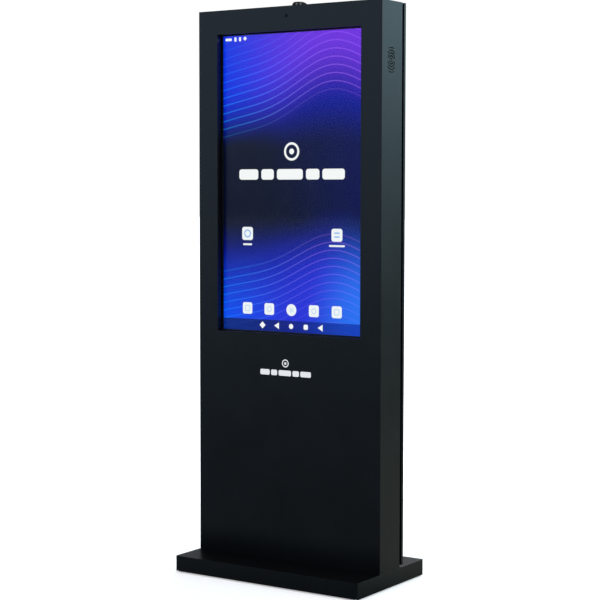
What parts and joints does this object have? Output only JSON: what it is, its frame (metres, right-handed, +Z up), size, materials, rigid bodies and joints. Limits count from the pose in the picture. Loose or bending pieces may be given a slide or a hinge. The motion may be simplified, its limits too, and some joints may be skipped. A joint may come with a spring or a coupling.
{
  "type": "touchscreen kiosk",
  "caption": "Free-standing portrait touchscreen kiosk: slim sheet-steel cabinet on a flat plinth, recessed display, side speaker grilles and a full-height rear door.",
  "frame": {"origin": "on the floor, under the middle of the plinth", "axes": "+Z up, +X to the right seen from the front, the screen faces -Y"},
  "size_m": [0.688, 0.4, 1.8218],
  "materials": {
    "black_plastic": "fine texture",
    "black_rubber": "matt black",
    "brass_nut": "nickel-washed brass",
    "cabinet_paint": "satin fine-texture powder coat, charcoal black",
    "cable_black": "PVC sheath",
    "cable_blue": "PVC sheath",
    "circuit_board": "green solder mask",
    "clear_glass": "clear tempered",
    "diffuser": "translucent white acrylic",
    "door_paint": "satin fine-texture powder coat, charcoal black",
    "fastener_zinc": "zinc plated",
    "foam": "closed-cell foam",
    "foot_steel": "black zinc stud with a black nylon-faced pad",
    "frame_paint": "semi-matt black paint",
    "gloss_black": "gloss infrared-pass acrylic",
    "lcd_bezel": "matt black sheet",
    "lcd_surface": "liquid crystal cell, lit from behind when on",
    "lens_glass": "dark tinted",
    "lock_chrome": "polished nickel",
    "mild_steel": "primed steel plate",
    "plinth_paint": "satin fine-texture powder coat, black",
    "speaker_black": "pressed basket and paper cone",
    "tray_alloy": "mill-finish pressed tray",
    "zinc_steel": "bright zinc plated sheet"
  },
  "bodies": {
    "cabinet": {"antenna_cable": "cable_black", "antenna_housing": "black_plastic", "antenna_nut": "brass_nut", "backlight_tray": "tray_alloy", "base_ballast_plate": "mild_steel", "base_bolt_front_left": "fastener_zinc", "base_bolt_front_right": "fastener_zinc", "base_bolt_rear_left": "fastener_zinc", "base_bolt_rear_right": "fastener_zinc", "base_plinth": "plinth_paint", "cable_grommet": "black_rubber", "camera_module": "black_plastic", "camera_window": "lens_glass", "diffuser_plate": "diffuser", "display_cable": "cable_black", "display_rail_lower": "zinc_steel", "display_rail_upper": "zinc_steel", "door_gasket": "foam", "driver_board": "circuit_board", "electronics_plate": "zinc_steel", "fan_bracket": "zinc_steel", "fan_left_frame": "black_plastic", "fan_right_frame": "black_plastic", "front_shell": "cabinet_paint", "hinge_lower_fixed_leaf": "fastener_zinc", "hinge_lower_pin": "fastener_zinc", "hinge_upper_fixed_leaf": "fastener_zinc", "hinge_upper_pin": "fastener_zinc", "ir_touch_frame": "gloss_black", "lcd_bezel_frame": "lcd_bezel", "lcd_cell": "lcd_surface", "mains_cable": "cable_black", "media_player": "black_plastic", "network_cable": "cable_blue", "network_socket": "black_plastic", "power_inlet": "black_plastic", "power_supply": "zinc_steel", "rear_frame": "frame_paint", "speaker_left": "speaker_black", "speaker_right": "speaker_black", "switch_housing": "black_plastic", "touch_glass": "clear_glass"},
    "door": {"rear_door": "door_paint", "door_stiffener": "door_paint", "intake_filter": "foam", "hinge_upper_moving_leaf": "fastener_zinc", "hinge_lower_moving_leaf": "fastener_zinc", "cam_lock_upper_body": "lock_chrome", "cam_lock_lower_body": "lock_chrome"},
    "upper_lock": {"cam_lock_upper_plug": "lock_chrome", "cam_lock_upper_cam": "lock_chrome"},
    "lower_lock": {"cam_lock_lower_plug": "lock_chrome", "cam_lock_lower_cam": "lock_chrome"},
    "left_fan_rotor": {"fan_left_rotor": "black_plastic"},
    "right_fan_rotor": {"fan_right_rotor": "black_plastic"},
    "rocker": {"power_rocker": "black_plastic"},
    "foot_front_left": {"levelling_foot_front_left": "foot_steel"},
    "foot_front_right": {"levelling_foot_front_right": "foot_steel"},
    "foot_rear_left": {"levelling_foot_rear_left": "foot_steel"},
    "foot_rear_right": {"levelling_foot_rear_right": "foot_steel"}
  },
  "joints": [
    {"name": "door_hinge", "type": "hinge", "parent": "cabinet", "child": "door", "pos_m": [-0.336, 0.058, 0.932], "axis": [0, 0, 1], "range_deg": [0, 100]},
    {"name": "upper_lock_turn", "type": "hinge", "parent": "door", "child": "upper_lock", "pos_m": [0.285, 0.07, 1.33], "axis": [0, -1, 0], "range_deg": [0, 90]},
    {"name": "lower_lock_turn", "type": "hinge", "parent": "door", "child": "lower_lock", "pos_m": [0.285, 0.07, 0.42], "axis": [0, -1, 0], "range_deg": [0, 90]},
    {"name": "left_fan_spin", "type": "hinge", "parent": "cabinet", "child": "left_fan_rotor", "pos_m": [-0.11, 0.048, 1.668], "axis": [0, 1, 0], "continuous": true},
    {"name": "right_fan_spin", "type": "hinge", "parent": "cabinet", "child": "right_fan_rotor", "pos_m": [0.11, 0.048, 1.668], "axis": [0, 1, 0], "continuous": true},
    {"name": "power_rocker_tilt", "type": "hinge", "parent": "cabinet", "child": "rocker", "pos_m": [-0.11, 0.1936, 0.029], "axis": [0, 0, -1], "range_deg": [0, 16]},
    {"name": "foot_front_left_screw", "type": "slide", "parent": "cabinet", "child": "foot_front_left", "axis": [0, 0, -1], "range_m": [0, 0.015]},
    {"name": "foot_front_right_screw", "type": "slide", "parent": "cabinet", "child": "foot_front_right", "axis": [0, 0, -1], "range_m": [0, 0.015]},
    {"name": "foot_rear_left_screw", "type": "slide", "parent": "cabinet", "child": "foot_rear_left", "axis": [0, 0, -1], "range_m": [0, 0.015]},
    {"name": "foot_rear_right_screw", "type": "slide", "parent": "cabinet", "child": "foot_rear_right", "axis": [0, 0, -1], "range_m": [0, 0.015]}
  ]
}
